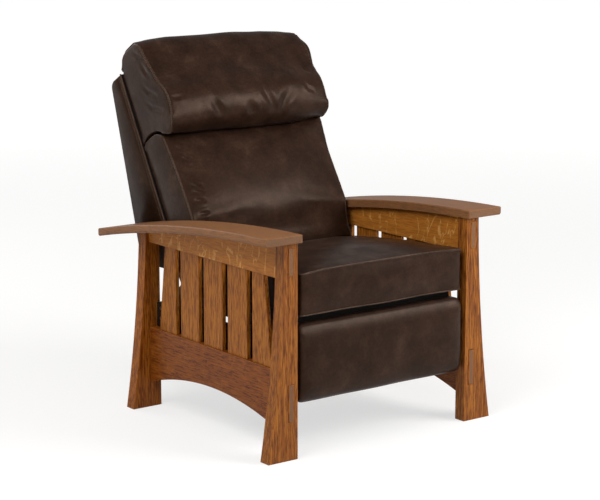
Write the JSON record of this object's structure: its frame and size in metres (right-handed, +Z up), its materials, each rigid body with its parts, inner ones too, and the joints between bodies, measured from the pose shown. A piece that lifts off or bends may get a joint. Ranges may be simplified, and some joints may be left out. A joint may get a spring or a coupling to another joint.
{
  "type": "mission reclining armchair",
  "caption": "Oak mission reclining armchair with arched arms, slatted sides, leather cushions, a tilting back and a fold-out legrest on steel links.",
  "frame": {"origin": "on the floor under the middle of the chair's overall box", "axes": "+X to the right seen from the front, -Y towards the front, +Z up"},
  "size_m": [0.826, 0.959, 1.0705],
  "materials": {
    "oak": "stained and satin lacquered",
    "leather": "semi-gloss, mottled",
    "black_board": "painted black",
    "black_steel": "satin black",
    "zinc_steel": "zinc plated",
    "webbing": "woven"
  },
  "bodies": {
    "frame": {"arm_left": "oak", "arm_right": "oak", "bottom_rail_left": "oak", "bottom_rail_right": "oak", "cleats": "black_board", "crossbars": "black_board", "frame_screws": "zinc_steel", "front_leg_left": "oak", "front_leg_right": "oak", "plate_angles": "black_steel", "rear_leg_left": "oak", "rear_leg_right": "oak", "seat_cross_boards": "black_board", "seat_cushion": "leather", "seat_side_boards": "black_board", "seat_webbing": "webbing", "side_plate_left": "black_steel", "side_plate_pins": "zinc_steel", "side_plate_right": "black_steel", "slat_1_left": "oak", "slat_1_right": "oak", "slat_2_left": "oak", "slat_2_right": "oak", "slat_3_left": "oak", "slat_3_right": "oak", "slat_4_left": "oak", "slat_4_right": "oak", "slat_5_left": "oak", "slat_5_right": "oak", "top_rail_left": "oak", "top_rail_right": "oak"},
    "back_rest": {"back_bracket_left": "black_steel", "back_bracket_right": "black_steel", "back_cover": "leather", "back_cushion": "leather", "back_lower_rails": "black_board", "back_panel": "black_board", "back_screws": "zinc_steel", "back_side_board_left": "black_board", "back_side_board_right": "black_board", "back_top_rail": "black_board", "back_webbing": "webbing", "head_pillow": "leather"},
    "crank_links": {"cross_tube": "black_steel", "rear_link_left": "black_steel", "rear_link_right": "black_steel", "rear_link_rivets": "zinc_steel"},
    "control_links": {"control_link_left": "black_steel", "control_link_right": "black_steel", "control_rivets": "zinc_steel"},
    "front_links": {"front_link_left": "black_steel", "front_link_right": "black_steel", "front_link_rivets": "zinc_steel"},
    "stabilisers": {"stabiliser_left": "black_steel", "stabiliser_right": "black_steel"},
    "legrest": {"footrest_board": "black_board", "footrest_bracket_left": "black_steel", "footrest_bracket_right": "black_steel", "footrest_fasteners": "zinc_steel", "footrest_pad": "leather"}
  },
  "joints": [
    {"name": "legrest_crank", "type": "hinge", "parent": "frame", "child": "crank_links", "pos_m": [0, -0.30753, 0.318], "axis": [-1, 0, 0], "range_deg": [0, 90]},
    {"name": "control_pivot", "type": "hinge", "parent": "frame", "child": "control_links", "pos_m": [0, -0.33904, 0.33927], "axis": [-1, 0, 0], "range_deg": [0, 90]},
    {"name": "front_link_pivot", "type": "hinge", "parent": "crank_links", "child": "front_links", "pos_m": [0, -0.24553, 0.19], "axis": [-1, 0, 0], "range_deg": [-90, 0]},
    {"name": "stabiliser_pivot", "type": "hinge", "parent": "crank_links", "child": "stabilisers", "pos_m": [0, -0.24853, 0.224], "axis": [-1, 0, 0], "range_deg": [-90, 0]},
    {"name": "legrest_pivot", "type": "hinge", "parent": "front_links", "child": "legrest", "pos_m": [0, -0.40253, 0.296], "axis": [-1, 0, 0], "range_deg": [0, 90]},
    {"name": "back_recline", "type": "hinge", "parent": "frame", "child": "back_rest", "pos_m": [0, 0.12547, 0.38], "axis": [-1, 0, 0], "range_deg": [0, 32]}
  ],
  "couplings": [
    {"joint": "control_pivot", "follows": "legrest_crank", "ratio": 1},
    {"joint": "front_link_pivot", "follows": "legrest_crank", "ratio": -1},
    {"joint": "stabiliser_pivot", "follows": "legrest_crank", "ratio": -1},
    {"joint": "legrest_pivot", "follows": "legrest_crank", "ratio": 1}
  ]
}
